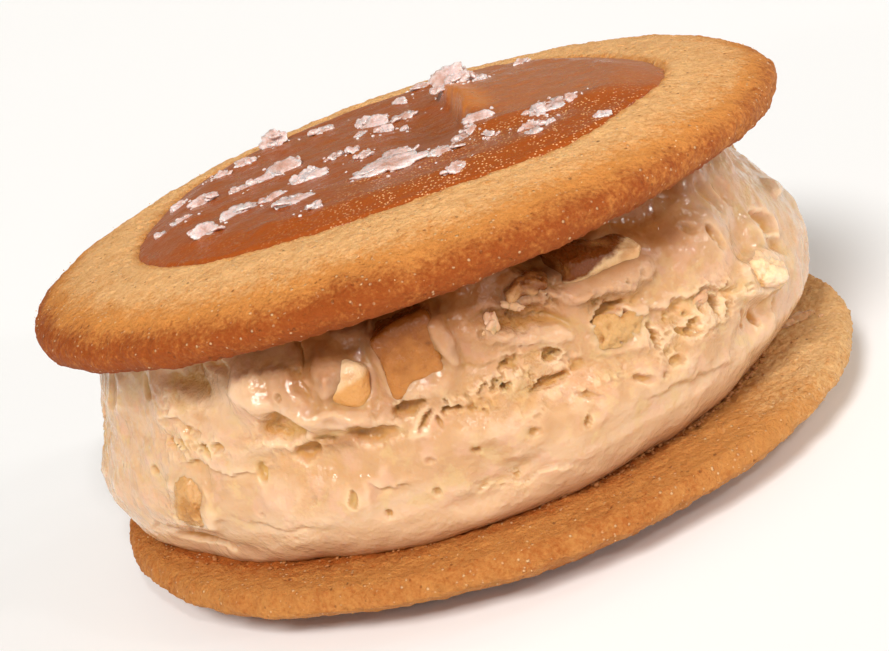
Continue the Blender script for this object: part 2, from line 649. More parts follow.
class Heap:
    """Many small closed meshes joined into one piece."""

    def __init__(self):
        self.points = []
        self.faces = []
        self.rims = []
        self.count = 0

    def add(self, points, faces, rim=None):
        self.points.append(points)
        self.rims.append(np.zeros(len(points)) if rim is None else rim)
        self.faces += [tuple(index + self.count for index in face) for face in faces]
        self.count += len(points)

    def piece(self, name, slot, look):
        mesh = bpy.data.meshes.new(name)
        mesh.from_pydata((np.concatenate(self.points) * MM).tolist(), [], self.faces)
        layer = mesh.attributes.new("rim", "FLOAT", "POINT")
        layer.data.foreach_set("value", np.concatenate(self.rims).astype(np.float32))
        mesh.shade_smooth()
        piece = finished_piece(name, mesh, None)
        piece.data.materials.append(look)
        return piece


def plate_faces(sides, rings):
    """Faces of a plate with a top and a bottom, each a centre point and rings of sides points."""
    faces = []
    half = 1 + rings * sides
    for k in range(sides):
        after = (k + 1) % sides
        faces.append((0, 1 + k, 1 + after))
        faces.append((half, half + 1 + after, half + 1 + k))
        for ring in range(rings - 1):
            a = 1 + ring * sides
            b = a + sides
            faces.append((a + k, b + k, b + after, a + after))
            faces.append((half + a + after, half + b + after, half + b + k, half + a + k))
        rim = 1 + (rings - 1) * sides
        faces.append((rim + k, half + rim + k, half + rim + after, rim + after))
    return faces


def salt_plate(length, breadth, thick, seed, sides):
    """A thin crystal with a broken outline, bent a little and pitted, lying flat."""
    angle = np.linspace(0.0, 2.0 * math.pi, sides, endpoint=False)
    around = np.stack([np.cos(angle), np.sin(angle), np.zeros_like(angle)], axis=-1)
    outline = 0.96 + 0.40 * fractal(around * 1.1 + seed * 3.3, 300, 2)
    outline += 0.30 * fractal(around * 3.0 + seed, 303, 3, 0.8)
    parts = (0.36, 0.72, 1.0)
    rings = [around[:, :2] * (outline * part)[:, None] for part in parts]
    flat = np.concatenate([np.zeros((1, 2))] + rings) * (0.5 * length, 0.5 * breadth)
    where = np.concatenate([flat, np.zeros((len(flat), 1))], axis=1)
    bend = 0.12 * length * fractal(where / length + seed * 5.1, 306, 2)
    pitted = 0.8 * thick * fractal(where / 0.5 + seed * 2.7, 309, 3, 0.7)
    thin = np.concatenate([[1.1]] + [np.full(sides, t) for t in (1.1, 0.95, 0.45)])
    top = np.column_stack([flat, bend + 0.5 * thick * thin + pitted])
    bottom = np.column_stack([flat, bend - 0.5 * thick * thin])
    return np.concatenate([top, bottom])


def make_salt():
    chance = random.Random(SALT_SEED)
    heap = Heap()

    def lay(x, y, length, breadth, thick, turn, tip, lift, sides=SALT_SIDES):
        points = salt_plate(length, breadth, thick, chance.random() * 50.0, sides)
        rim = np.concatenate([[0.0]] + [np.full(sides, r) for r in (0.1, 0.4, 1.0)] * 1)
        rim = np.concatenate([rim, rim])
        surface = COOKIE_THICKNESS + float(caramel_height(np.array([x]), np.array([y]))[0])
        place = Matrix.Translation((x, y, surface + lift))
        place = place @ Matrix.Rotation(math.radians(turn), 4, "Z")
        place = place @ Matrix.Rotation(math.radians(tip), 4, "X")
        heap.add(on_top_cookie(moved(points, place)), plate_faces(sides, 3), rim)

    for x, y, length, height, turn in SALT_FLAKES:
        breadth = max(0.55 * length, 0.9 * height + 0.4)
        tip = math.degrees(math.asin(min(0.85, height / breadth * 0.75)))
        lay(x, y, 1.14 * length, 1.14 * breadth, 0.36, turn, tip, 0.17 * height)
        for _ in range(SALT_SHARDS):
            size = length * chance.uniform(0.3, 0.65)
            lay(
                x + chance.uniform(-0.5, 0.5) * length, y + chance.uniform(-0.35, 0.5) * breadth,
                size, size * chance.uniform(0.5, 0.9), chance.uniform(0.2, 0.45),
                turn + chance.uniform(-60, 60), chance.uniform(-30, 45), chance.uniform(0.0, 0.4) * height,
            )
    for _ in range(SALT_GRAINS):
        x, y, length, _, _ = chance.choice(SALT_FLAKES)
        x += chance.gauss(0.0, 0.55) * length
        y += chance.gauss(0.0, 0.55) * length
        size = chance.uniform(0.15, 0.5)
        if math.hypot(x, y) < POOL_RADIUS - 3.0:
            lay(x, y, size, size * chance.uniform(0.6, 1.0), 0.6 * size, chance.uniform(0, 180),
                chance.uniform(-60, 60), 0.02, GRAIN_SIDES)
    heap.piece("salt_flakes", "salt", salt_look())


def salt_look():
    look = Look("flaky_salt", 0.3)
    clear = look.span(look.math("ADD", look.noise(0.8, 3.0, 0.6), look.noise(4.0, 1.0)), 0.85, 1.25)
    toned = look.mix(clear, (0.66, 0.48, 0.45), (0.50, 0.27, 0.20))
    rim = look.math("MULTIPLY", look.attribute("rim"), look.span(look.noise(0.5), 0.35, 0.6, 0.3, 1.0))
    toned = look.mix(rim, toned, (0.88, 0.77, 0.75))
    look.colour(toned)
    look.roughness(look.span(look.noise(0.6, 2.0), 0.3, 0.7, 0.10, 0.40))
    look.normal(look.bump(look.noise(0.35, 3.0, 0.6), 0.12, 0.9))
    look.set(IOR=1.5)
    look.glow_through(0.45, (1.0, 0.55, 0.42), 0.5)
    return look.material


def make_sugar():
    """Grains of sugar baked into the cookies' shoulders and sides."""
    chance = random.Random(11)
    heap = Heap()
    points, faces = crystal()
    for _ in range(SUGAR_GRAINS):
        on_top = chance.random() < 0.6
        profile = cookie_profile(1.7 if on_top else 1.2)
        radius, height = profile[chance.randrange(3, len(profile) - 3)]
        radius -= chance.random() ** 2 * 6.0 if height > 0.8 * COOKIE_THICKNESS else 0.0
        turn = chance.uniform(0.0, 2.0 * math.pi)
        size = chance.uniform(0.03, 0.08)
        place = Matrix.Translation((radius * math.cos(turn), radius * math.sin(turn), height))
        place = place @ Matrix.Rotation(turn, 4, "Z") @ Matrix.Rotation(chance.uniform(0, 3), 4, "Y")
        grain = moved(points * size * (1.0, chance.uniform(0.6, 1.3), chance.uniform(0.6, 1.3)), place)
        if on_top:
            grain = on_top_cookie(grain)
        else:
            grain = grain * (1.0, -1.0, -1.0) + (0.0, 0.0, COOKIE_THICKNESS)
        heap.add(grain, faces)
    look = Look("sugar", 0.2)
    look.colour(look.mix(look.noise(0.5), (0.85, 0.58, 0.32), (0.74, 0.40, 0.16)))
    look.set(IOR=1.5)
    heap.piece("sugar_grains", "crumb", look.material)


def crystal():
    """A small block with its corners cut, 2 across."""
    bm = bmesh.new()
    bmesh.ops.create_cube(bm, size=1.6)
    bmesh.ops.bevel(bm, geom=bm.edges[:] + bm.verts[:], offset=0.3, segments=1, affect="EDGES")
    points = np.array([vertex.co for vertex in bm.verts])
    faces = [tuple(vertex.index for vertex in face.verts) for face in bm.faces]
    bm.free()
    return points, faces


def crumb_shape(detail):
    bm = bmesh.new()
    bmesh.ops.create_icosphere(bm, subdivisions=detail, radius=1.0)
    points = np.array([vertex.co for vertex in bm.verts])
    faces = [tuple(vertex.index for vertex in face.verts) for face in bm.faces]
    bm.free()
    return points, faces


def lumpy(points, size, seed, lumps):
    swell = 1.0 + lumps * fractal(points * 1.1 + seed, 400, 3, 0.5)
    return points * swell[:, None] * size


def make_crumbs():
    """Crumbs of cookie round the foot of the ice cream."""
    chance = random.Random(23)
    heap = Heap()
    points, faces = crumb_shape(2)
    for _ in range(CRUMBS):
        angle = math.radians(chance.choice((chance.gauss(-52.0, 13.0), chance.uniform(-180.0, 180.0))))
        size = 0.09 + 0.22 * chance.random() ** 2
        foot = wall_shift(np.array(0.0)) + CREAM_FOOT_RADIUS * np.array((math.cos(angle), math.sin(angle)))
        out = 1.3 * chance.random() ** 1.5
        spot = foot + out * np.array((math.cos(angle), math.sin(angle)))
        scale = size * np.array((1.0, chance.uniform(0.6, 1.0), chance.uniform(0.5, 0.9)))
        shape = lumpy(points, scale, chance.random() * 90.0, 0.45)
        heap.add(shape + (spot[0], spot[1], COOKIE_THICKNESS + 0.1 * size), faces)
    look = Look("loose_crumb", 0.6)
    look.colour(look.mix(look.noise(0.7), (0.46, 0.18, 0.045), (0.24, 0.07, 0.012)))
    look.normal(look.bump(look.noise(0.3, 2.0), 0.06, 0.8))
    heap.piece("cookie_crumbs", "crumb", look.material)


def make_chips():
    """Torn chips and smears of ice cream standing off the wall, and a dab on the bottom cookie."""
    heap = Heap()
    points, faces = crumb_shape(4)
    for order, (degrees, height, length, tall, thick, turn) in enumerate(CREAM_CHIPS):
        chip = lumpy(points, 0.5 * np.array((length, thick, tall)), 5.3 * order, 0.75)
        heap.add(moved(chip, wall_frame(degrees, height, 0.15, turn)), faces)
    for order, (x, y, size) in enumerate(CREAM_DABS):
        blob = lumpy(points, np.array((1.0, 0.8, 0.5)) * size, 7.0 * order, 0.5)
        heap.add(blob + (x, y, COOKIE_THICKNESS), faces)
    piece = heap.piece("ice_cream_chips", "ice_cream", ice_cream_look("ice_cream_chip", 0.15))
    for label, value in (("hollow", -0.05), ("warm", 0.7), ("stain", 0.05)):
        layer = piece.data.attributes.new(label, "FLOAT", "POINT")
        layer.data.foreach_set("value", np.full(len(piece.data.vertices), value, dtype=np.float32))


# ================================================================ ice cream

# Soft bumps (+) and dents (-): degrees round from +X, height, half width, half height, depth
WALL_FORMS = (
    (-117, 25.0, 6.0, 2.6, 1.5),
    (-112, 22.0, 3.5, 3.0, 1.1),
    (-105, 23.4, 3.0, 2.4, -1.1),
    (-138, 14.0, 3.4, 3.2, -0.8),
    (-115, 17.5, 5.0, 2.5, -1.0),
    (-134, 26.0, 3.5, 1.8, -1.1),
    (-165, 13.5, 9.0, 6.0, 1.3),
    (-140, 8.6, 7.0, 2.0, -1.3),
    (-88, 25.5, 4.0, 2.2, 0.9),
    (-64, 24.2, 5.5, 1.3, 0.9),
    (-80, 18.5, 9.0, 1.2, -0.8),
    (-90, 10.5, 5.0, 2.0, -0.7),
    (-66, 28.0, 9.0, 2.0, -1.6),
    (-53, 26.5, 5.0, 2.0, -0.9),
    (-47, 24.0, 5.0, 4.0, 1.2),
    (-12, 15.0, 10.0, 7.0, 1.0),
    (-41, 13.5, 3.5, 1.2, -0.9),
    (12, 12.0, 8.0, 4.0, -1.0),
    (48, 20.0, 8.0, 5.0, 1.3),
    (83, 13.0, 9.0, 4.0, -1.0),
    (112, 24.0, 7.0, 3.0, 1.2),
    (146, 12.0, 8.0, 5.0, 0.8),
    (160, 22.0, 6.0, 3.0, -0.9),
)

# Lumps (+) and holes (-) with clearer edges: degrees, height, half length, half height,
# tilt in degrees, depth, softness of the edge from 0.2 (torn) to 1 (melted)
WALL_MARKS = (
    # the drip, the lip and the dome left of the big toffee
    (-121.0, 25.3, 2.2, 2.9, 4, 1.3, 0.7),
    (-119.2, 23.6, 1.2, 1.0, 0, 0.7, 0.7),
    (-109.3, 21.4, 3.9, 1.2, -13, 1.3, 0.55),
    (-112.4, 27.6, 0.25, 1.5, 14, -1.3, 0.7),
    (-112.0, 24.8, 0.5, 1.3, 35, -0.9, 0.7),
    (-104.0, 19.1, 2.4, 0.8, -6, -1.6, 0.5),
    (-111.0, 19.4, 1.4, 0.5, -14, -0.9, 0.5),
    # craters and pits on the left
    (-117.0, 21.2, 2.2, 1.5, 6, -2.5, 0.45),
    (-115.0, 18.5, 1.7, 0.9, 12, -1.8, 0.5),
    (-123.0, 17.2, 0.5, 0.9, 4, -1.1, 0.35),
    (-134.0, 26.9, 2.3, 1.1, -10, -1.0, 0.8),
    (-145.3, 24.9, 0.6, 0.9, 0, -1.1, 0.3),
    (-136.6, 25.5, 2.2, 0.7, -6, -0.9, 0.8),
    (-127.3, 27.1, 1.6, 0.4, -8, -0.8, 0.5),
    (-131.5, 25.0, 1.4, 1.0, -20, -0.5, 0.6),
    (-137.7, 22.2, 2.9, 0.25, -8, -0.6, 0.5),
    (-133.4, 21.2, 0.8, 0.5, 0, -0.7, 0.6),
    (-139.3, 19.8, 0.9, 0.5, -14, -1.0, 0.4),
    (-131.8, 19.3, 0.6, 0.6, -20, -1.3, 0.3),
    (-137.0, 20.1, 0.6, 0.4, -30, -1.0, 0.3),
    (-129.3, 19.9, 0.8, 0.35, 0, -0.9, 0.4),
    (-110.3, 13.3, 0.4, 0.9, -14, -0.9, 0.4),
    (-141.1, 9.0, 4.2, 0.8, -3, -1.5, 0.5),
    (-158.0, 24.0, 1.5, 2.2, 0, -1.0, 0.6),
    # round the big toffee
    (-98.5, 28.8, 5.4, 1.2, -4, -4.8, 0.5),
    (-91.0, 25.9, 1.0, 3.5, 11, 1.0, 0.45),
    (-107.6, 24.9, 1.6, 1.8, 14, 3.0, 1.0),
    (-98.4, 20.4, 1.4, 0.6, 8, -1.5, 0.3),
    (-92.6, 19.2, 0.9, 0.3, -4, -1.6, 0.25),
    (-96.8, 19.0, 1.1, 0.4, 38, -1.4, 0.3),
    (-94.4, 18.5, 0.25, 0.6, 20, -0.9, 0.3),
    (-93.6, 20.1, 0.2, 0.2, 0, -0.9, 0.3),
    (-98.3, 18.3, 1.4, 0.9, -15, 0.5, 0.7),
    (-101.5, 19.6, 0.9, 1.6, 10, 0.5, 0.5),
    # the cracked band right of it
    (-84.2, 21.2, 0.7, 0.3, 12, -0.9, 0.3),
    (-86.0, 20.2, 0.4, 0.5, 0, -1.0, 0.4),
    (-84.2, 19.7, 0.4, 0.5, 0, -1.0, 0.4),
    (-82.9, 21.1, 0.8, 0.4, -14, -1.1, 0.4),
    (-84.8, 19.7, 0.35, 0.4, 20, -1.3, 0.3),
    (-77.4, 20.3, 0.8, 0.5, 10, -1.8, 0.3),
    (-73.6, 18.6, 0.9, 0.6, 0, -0.7, 0.6),
    (-78.6, 18.0, 2.2, 0.45, -4, -1.7, 0.3),
    (-73.9, 15.6, 1.5, 0.25, -18, -0.7, 0.4),
    (-65.5, 15.3, 1.0, 0.4, -18, -1.0, 0.4),
    (-75.6, 13.6, 0.4, 0.6, 0, -0.9, 0.4),
    (-91.1, 15.1, 0.5, 0.45, 0, -0.9, 0.4),
    (-98.7, 12.3, 0.35, 0.4, 0, -0.7, 0.4),
    (-86.4, 12.1, 1.4, 0.8, -14, -0.6, 0.8),
    # the hollow and the shelf under it
    (-79.6, 24.4, 4.3, 1.1, -20, -1.5, 0.5),
    (-77.8, 22.4, 4.0, 0.9, -20, 0.8, 0.5),
    (-70.0, 29.2, 4.4, 1.3, 0, -3.2, 0.5),
    (-73.5, 27.9, 2.6, 1.1, -14, -2.6, 0.4),
    (-72.0, 24.9, 2.6, 0.5, -20, 0.8, 0.5),
    (-66.8, 22.3, 1.9, 0.45, 3, -2.4, 0.25),
    (-64.4, 21.0, 0.4, 0.9, 0, -1.2, 0.3),
    # the right, melted under the cookie and torn below
    (-49.3, 17.6, 0.6, 0.7, 30, -2.6, 0.25),
    (-54.5, 17.3, 0.9, 0.4, 24, -1.6, 0.3),
    (-61.3, 18.0, 0.5, 0.5, 0, -2.0, 0.25),
    (-56.0, 17.0, 1.6, 0.4, -20, -1.0, 0.4),
    (-59.5, 15.2, 0.9, 0.5, 0, -0.9, 0.4),
    (-43.7, 14.3, 0.4, 1.0, 12, -1.3, 0.4),
    (-39.9, 13.6, 0.4, 1.1, 12, -1.5, 0.4),
    (-27.5, 20.3, 2.2, 1.1, -35, -2.0, 0.5),
    (-27.0, 17.6, 2.2, 0.9, -35, -1.2, 0.6),
    (-38.0, 26.0, 1.1, 1.9, 30, -1.3, 0.7),
    (-33.5, 25.0, 0.9, 1.5, 30, -1.0, 0.7),
    (-45.3, 23.4, 0.7, 0.6, 0, -1.3, 0.5),
    (-48.5, 24.8, 0.9, 0.5, -30, -0.7, 0.6),
    (-44.5, 22.6, 0.6, 0.9, 10, -0.9, 0.5),
    # the outline on the right and the left
    (-4, 25.5, 10.0, 4.0, 0, -2.3, 1.0),
    (-14, 20.6, 2.4, 1.0, 0, 1.5, 0.6),
    (-6, 13.0, 10.0, 4.5, 0, 1.6, 1.0),
    (178, 20.0, 9.0, 8.0, 0, -0.5, 1.0),
    # the back
    (15, 22.0, 3.0, 1.0, 10, -1.5, 0.4),
    (22, 16.5, 1.2, 0.8, 0, -1.4, 0.4),
    (37, 24.5, 2.0, 2.6, 6, 1.1, 0.6),
    (66, 19.5, 3.6, 0.7, -15, -1.6, 0.4),
    (73, 22.5, 3.4, 1.2, -10, 1.0, 0.5),
    (88, 15.0, 1.1, 0.9, 0, -1.5, 0.4),
    (104, 19.5, 1.9, 0.9, 20, -1.3, 0.4),
    (118, 14.0, 3.2, 0.6, -10, -1.2, 0.4),
    (133, 24.0, 2.2, 2.4, -5, 1.2, 0.6),
    (150, 17.5, 1.3, 1.0, 0, -1.6, 0.35),
    (171, 20.5, 2.6, 0.6, 12, -1.2, 0.4),
    (178, 26.0, 2.4, 1.5, 0, -1.0, 0.7),
)

# Plates with one sharp edge that fade away from it, up or down:
# degrees, height, half length, fade (+ below the edge, - above), tilt, depth
WALL_LEDGES = (
    (-131.0, 17.8, 5.4, 3.4, -4, -0.7),
    (-122.0, 11.6, 5.0, 2.0, -8, -0.5),
    (-104.0, 14.2, 2.2, 2.6, -22, -0.6),
    (-148.0, 10.6, 4.0, 2.0, 4, -0.6),
    (-79.0, 24.3, 4.6, 1.6, -20, -0.7),
    (-84.0, 21.9, 5.0, 2.2, -16, -0.5),
    (-62.0, 20.6, 5.5, 2.4, -12, -0.8),
    (-51.0, 19.4, 4.6, 2.2, -14, -0.9),
    (-57.0, 12.4, 6.0, 2.0, -8, -0.5),
    (-86.0, 10.6, 5.5, -2.4, -6, -0.5),
    (-116.0, 26.0, 4.0, -1.8, -14, -0.7),
    (-33.0, 17.0, 6.0, 3.0, 75, -0.9),
    (8.0, 18.5, 6.5, 2.8, 9, -0.9),
    (40.0, 14.0, 7.0, 3.0, -12, -0.8),
    (62.0, 24.0, 5.0, 2.4, -8, -0.8),
    (95.0, 20.5, 6.5, 3.0, 14, -0.9),
    (125.0, 17.5, 6.0, -2.6, -10, -0.8),
    (155.0, 22.5, 6.0, 2.8, 8, -0.9),
    (-178.0, 14.0, 5.5, 2.6, -12, -0.8),
)

# Where the surface is torn and full of holes: degrees, height, half width, half height, strength
TORN_ZONES = (
    (-80, 19.2, 7.5, 2.8, 1.0),
    (-71, 16.8, 5.0, 2.2, 0.8),
    (-79, 24.8, 5.0, 2.4, 1.0),
    (-66, 23.4, 4.0, 2.0, 1.0),
    (-54, 17.6, 8.0, 2.6, 1.0),
    (-119, 19.8, 3.4, 2.6, 0.9),
    (-131, 25.8, 4.5, 1.8, 0.7),
    (-136, 20.0, 5.0, 1.8, 0.7),
    (-107, 18.9, 5.5, 1.4, 0.8),
    (-118, 13.5, 3.0, 3.2, 0.4),
    (-143, 13.8, 2.2, 2.4, 0.8),
    (-100, 20.5, 3.5, 1.8, 0.9),
    (-92, 14.0, 6.0, 2.0, 0.3),
    (-172, 17.0, 6.0, 4.0, 0.7),
    (-5, 10.5, 7.0, 3.0, 0.7),
    (17, 20.5, 8.0, 3.5, 0.9),
    (68, 17.5, 9.0, 3.5, 1.0),
    (104, 12.0, 9.0, 3.0, 0.8),
    (140, 20.5, 8.0, 3.5, 0.9),
)

# Where melted cream shines: degrees, height, half width, half height, strength
WET_ZONES = (
    (-44, 24.0, 9.0, 6.5, 1.0),
    (-28, 19.5, 6.0, 5.0, 1.0),
    (-120, 24.0, 3.5, 3.5, 0.9),
    (-107, 21.8, 5.0, 2.2, 0.9),
    (-98, 18.2, 2.5, 1.5, 1.0),
    (-91, 25.5, 2.0, 4.0, 0.8),
    (-84, 17.5, 9.0, 2.0, 0.6),
    (-108, 10.5, 9.0, 2.5, 0.6),
    (-53, 23.0, 6.0, 3.5, 1.0),
    (-135, 21.5, 9.0, 5.0, 0.5),
    (-68, 12.0, 9.0, 3.0, 0.4),
    (-64, 27.0, 5.0, 3.0, 0.7),
    (25, 14.0, 9.0, 5.0, 0.8),
    (90, 24.0, 9.0, 4.0, 0.9),
    (160, 12.0, 9.0, 4.0, 0.8),
)

# Caramel-brown stains: degrees, height, half width, half height, strength
STAINS = (
    (-112, 26.2, 3.0, 2.4, 0.75),
    (-112.5, 28.2, 1.4, 1.6, 0.9),
    (-97, 29.0, 5.5, 1.6, 1.0),
    (-106, 27.6, 4.0, 1.4, 0.6),
    (-82, 27.4, 6.0, 2.0, 0.6),
    (-70, 28.8, 6.0, 2.0, 1.0),
    (-74, 27.6, 4.0, 1.6, 1.0),
    (-57.5, 25.8, 1.6, 1.6, 0.7),
    (-79.5, 24.6, 4.6, 1.5, 0.55),
    (-68, 23.3, 3.6, 0.8, 0.6),
    (-50, 28.6, 12.0, 3.0, 0.90),
    (-56, 29.4, 10.0, 1.8, 1.0),
    (-55, 27.0, 8.0, 3.4, 0.95),
    (-66, 26.0, 6.0, 2.0, 0.6),
    (-72, 26.6, 8.0, 1.8, 0.7),
    (-52, 6.6, 9.0, 1.0, 0.7),
    (-38, 7.6, 6.0, 1.8, 0.6),
    (-110, 23.6, 3.0, 1.0, 0.4),
    (-100, 20.6, 2.0, 0.9, 0.5),
    (-109, 18.9, 3.8, 0.7, 0.5),
    (-134, 26.8, 2.4, 1.2, 0.35),
    (40, 27.5, 12.0, 2.0, 0.6),
    (110, 28.0, 14.0, 1.8, 0.6),
    (165, 27.5, 9.0, 1.8, 0.5),
)

# Olive-gold spots: degrees, height, half width, half height, strength
OLIVE_SPOTS = (
    (-145.3, 24.9, 0.8, 1.3, 0.8), (-123.0, 17.2, 0.7, 1.3, 0.6), (-112.8, 20.0, 2.6, 0.9, 0.7),
    (-137.0, 20.1, 0.9, 0.6, 0.8), (-131.8, 19.3, 0.9, 0.8, 0.8), (-134.0, 25.4, 2.6, 0.9, 0.4),
    (-110.4, 13.3, 0.6, 1.1, 0.7), (-84.0, 20.4, 4.0, 1.3, 0.3), (-77.5, 20.2, 2.4, 1.2, 0.3),
    (-57.0, 17.4, 3.5, 1.3, 0.3), (-72.0, 22.8, 3.0, 0.8, 0.5), (60.0, 18.0, 3.0, 1.4, 0.6),
    (115.0, 15.0, 2.2, 1.2, 0.6), (150.0, 18.0, 2.0, 1.3, 0.7), (-170.0, 16.0, 3.0, 1.3, 0.6),
)

MARK_DEPTH = 0.68
CREAM_COLUMNS = 1000
CREAM_LEVELS = 94
CREAM_FRONT_CROWDING = 0.26


def underside_height(x, y):
    up = TOP_MATRIX[:3, 2]
    cx, cy, cz = TOP_UNDERSIDE_CENTRE
    return cz - ((x - cx) * up[0] + (y - cy) * up[1]) / up[2]


def barrel_radius(share):
    below = np.clip((CREAM_BELLY_AT - share) / CREAM_BELLY_AT, 0.0, 1.0)
    above = np.clip((share - CREAM_BELLY_AT) / (1.0 - CREAM_BELLY_AT), 0.0, 1.0)
    radius = CREAM_BELLY_RADIUS - (CREAM_BELLY_RADIUS - CREAM_FOOT_RADIUS) * below ** 2.8
    return radius - (CREAM_BELLY_RADIUS - CREAM_TOP_RADIUS) * above ** 1.6


def wall_shift(share):
    lean = np.clip(share / 0.2, 0.0, 1.0)[..., None] ** 0.8
    return CREAM_FOOT_SHIFT + (CREAM_BODY_SHIFT - CREAM_FOOT_SHIFT) * lean


def along_wall(angle, degrees):
    """Millimetres along the wall from a place in degrees."""
    off = angle - math.radians(degrees)
    return np.arctan2(np.sin(off), np.cos(off)) * CREAM_BELLY_RADIUS


def zones(table, angle, height):
    """How far each place is inside the soft ellipses of a table, from 0 to their strength."""
    most = np.zeros_like(angle)
    for degrees, at_height, half_width, half_height, strength in table:
        across = along_wall(angle, degrees) / half_width
        up = (height - at_height) / half_height
        most = np.maximum(most, strength * np.exp(-0.7 * (across * across + up * up)))
    return most


def wall_forms(angle, height):
    out = np.zeros_like(angle)
    for degrees, at_height, half_width, half_height, depth in WALL_FORMS:
        across = along_wall(angle, degrees) / half_width
        up = (height - at_height) / half_height
        out += depth * np.exp(-(across * across + up * up))
    return out


def wall_marks(angle, height, warp):
    out = np.zeros_like(angle)
    for degrees, at_height, half_length, half_height, tilt, depth, softness in WALL_MARKS:
        across = along_wall(angle, degrees) + warp[..., 0]
        up = height - at_height + warp[..., 2]
        turn = math.radians(tilt)
        a = (across * math.cos(turn) + up * math.sin(turn)) / half_length
        b = (up * math.cos(turn) - across * math.sin(turn)) / half_height
        away = np.sqrt(a * a + b * b)
        out += MARK_DEPTH * depth * (1.0 - smooth(1.0 - softness, 1.0 + 0.6 * softness, away))
    return out


def lump_collars(angle, height, warp):
    """Cream that wells up round each lump."""
    out = np.zeros_like(angle)
    for _, _, degrees, at_height, width, tall, _, proud, lean in LUMPS:
        across = along_wall(angle, degrees) + warp[..., 0]
        up = height - at_height + warp[..., 2]
        turn = math.radians(lean)
        a = (across * math.cos(turn) + up * math.sin(turn)) / (0.5 * width)
        b = (up * math.cos(turn) - across * math.sin(turn)) / (0.5 * tall)
        away = (a ** 4 + b ** 4) ** 0.25
        out = np.maximum(out, 0.55 * proud * (1.0 - smooth(0.95, 1.5, away)))
    return out


def wall_ledges(angle, height, warp):
    out = np.zeros_like(angle)
    for degrees, at_height, half_length, fade, tilt, depth in WALL_LEDGES:
        across = along_wall(angle, degrees) + warp[..., 0]
        up = height - at_height + warp[..., 2]
        turn = math.radians(tilt)
        a = (across * math.cos(turn) + up * math.sin(turn)) / half_length
        b = (up * math.cos(turn) - across * math.sin(turn)) / -fade
        edge = smooth(-0.10, 0.12, b * abs(fade))
        fall = np.exp(-np.clip(b, 0.0, None) * 1.6)
        out += 0.8 * depth * edge * fall * (1.0 - smooth(0.6, 1.15, np.abs(a)))
    return out


def torn_texture(bent, torn):
    """Crumbs, cracks and holes in mm out of the wall, where torn is over 0."""
    _, gap, number, offset = cells(bent * np.array((0.75, 0.75, 1.5)) / 1.6, 51)
    facets = 0.20 * (number - 0.5) + 0.20 * offset[..., 2] * (number - 0.5)
    seams = -0.16 * smooth(0.14, 0.02, gap) * (number > 0.6)
    rough = 0.12 * fractal(bent / 1.0, 54, 2, 0.6)
    nearest, _, chance, _ = cells(bent * np.array((0.8, 0.8, 1.4)) / 1.2, 57)
    holes = -0.50 * smooth(0.34, 0.22, nearest) * (chance < 0.34)
    ridges = 1.0 - np.abs(fractal(bent * np.array((0.5, 0.5, 1.0)) / 1.9, 61, 3))
    cracks = -0.22 * smooth(0.90, 0.985, ridges)
    return smooth(0.20, 0.85, torn) * (facets + seams + rough + holes + cracks)


def wall_relief(angle, height, where):
    """Everything finer than the CAD wall, in mm out of it, and how torn each place is."""
    warp = np.stack([
        fractal(where / 3.0, 21, 3), fractal(where / 3.0, 22, 3), fractal(where / 2.4, 23, 3)
    ], axis=-1)
    bent = where + 1.3 * warp
    torn = zones(TORN_ZONES, angle, height) + 0.30 * fractal(where / 5.0, 41, 2)
    torn += 0.35 * smooth(0.25, 0.6, fractal(where / np.array((9, 9, 5.0)), 42, 2))
    out = wall_marks(angle, height, 0.75 * warp)
    out += wall_ledges(angle, height, 1.1 * warp)
    out += lump_collars(angle, height, 0.6 * warp)
    out += 0.26 * fractal(bent * np.array((1.0, 1.0, 1.7)) / 6.0, 31, 2)
    fine = 0.05 * fractal(bent * np.array((0.35, 0.35, 1.0)) / 1.5, 33, 2)
    fine += 0.34 * fractal(bent / 3.4, 36, 2, 0.4) + 0.08 * fractal(where / 1.3, 38, 1)
    out += fine * (1.0 - 0.6 * smooth(13.0, 9.0, height))
    out += torn_texture(bent, torn)
    nearest, _, chance, _ = cells((where + 0.6 * warp) * np.array((0.8, 0.8, 1.2)) / 2.4, 43)
    size = 0.10 + 1.1 * chance
    out -= 0.6 * smooth(size + 0.06, size - 0.06, nearest) * (chance < 0.13)
    return out, np.clip(torn, 0.0, 1.0)


